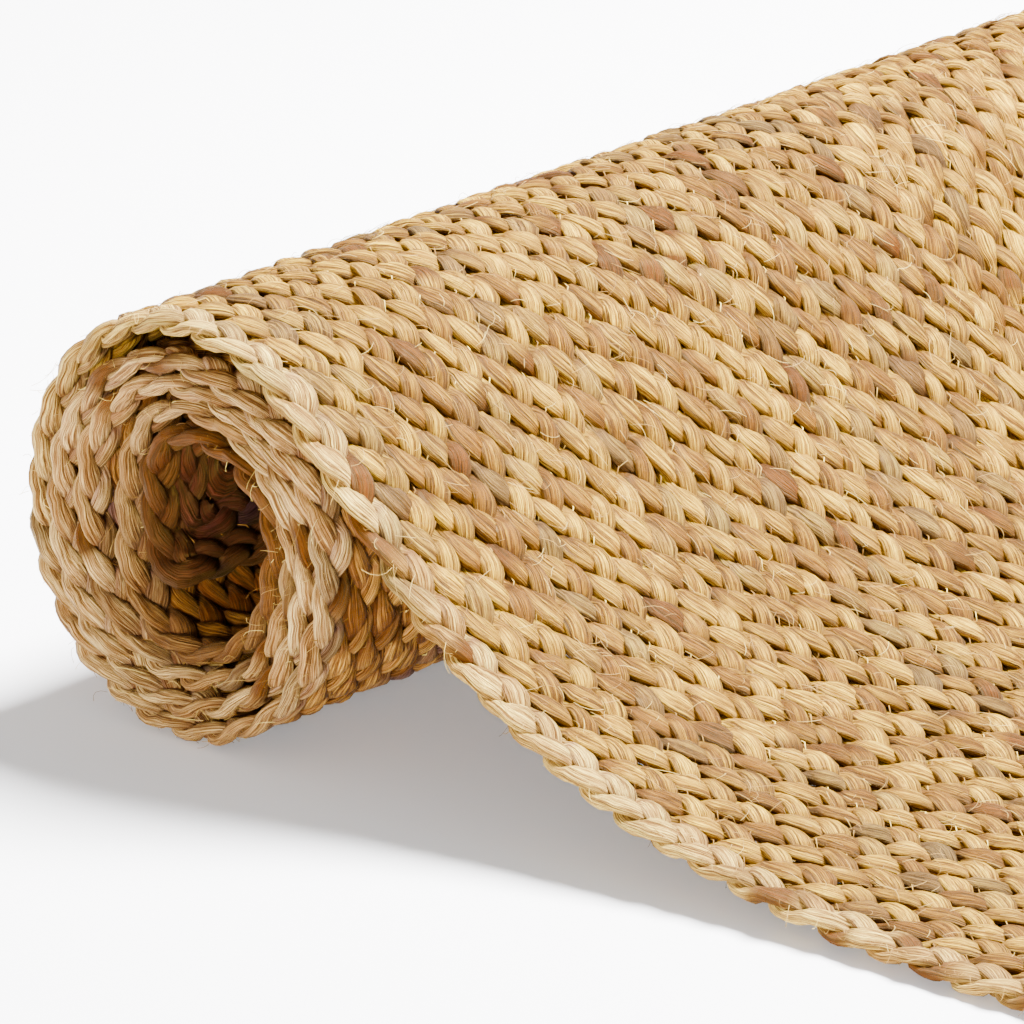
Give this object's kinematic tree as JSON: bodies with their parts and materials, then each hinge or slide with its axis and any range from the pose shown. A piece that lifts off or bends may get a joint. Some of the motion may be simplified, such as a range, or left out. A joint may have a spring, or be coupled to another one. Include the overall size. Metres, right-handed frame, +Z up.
{
  "type": "area rug",
  "caption": "Rectangular plaited jute rug, rolled up from one end with the rest sloping down to lie flat on the floor",
  "frame": {"origin": "on the floor under the middle of the whole rug as it lies, roll included", "axes": "X runs along the rug from the roll to the free end, Y runs across the rug along the roll's axis, Z is up"},
  "size_m": [0.508, 0.6, 0.1382],
  "materials": {
    "edge_jute": "pale undyed jute plait, coarse combed fibres, matt",
    "field_jute": "golden undyed jute plait with cream, rust and grey lumps, coarse fibres, matt with a faint sheen"
  },
  "bodies": {
    "root": {"plait_ring_01_edge": "edge_jute", "plait_ring_02": "field_jute", "plait_ring_03": "field_jute", "plait_ring_04": "field_jute", "plait_ring_05": "field_jute", "plait_ring_06": "field_jute", "plait_ring_07": "field_jute", "plait_ring_08": "field_jute", "plait_ring_09": "field_jute", "plait_ring_10": "field_jute", "plait_ring_11": "field_jute", "plait_ring_12": "field_jute", "plait_ring_13": "field_jute", "plait_ring_14": "field_jute", "plait_ring_15": "field_jute", "plait_ring_16": "field_jute", "plait_ring_17": "field_jute", "plait_ring_18": "field_jute", "plait_ring_19": "field_jute", "plait_ring_20": "field_jute", "plait_ring_21": "field_jute", "plait_ring_22_centre": "field_jute"}
  },
  "joints": []
}
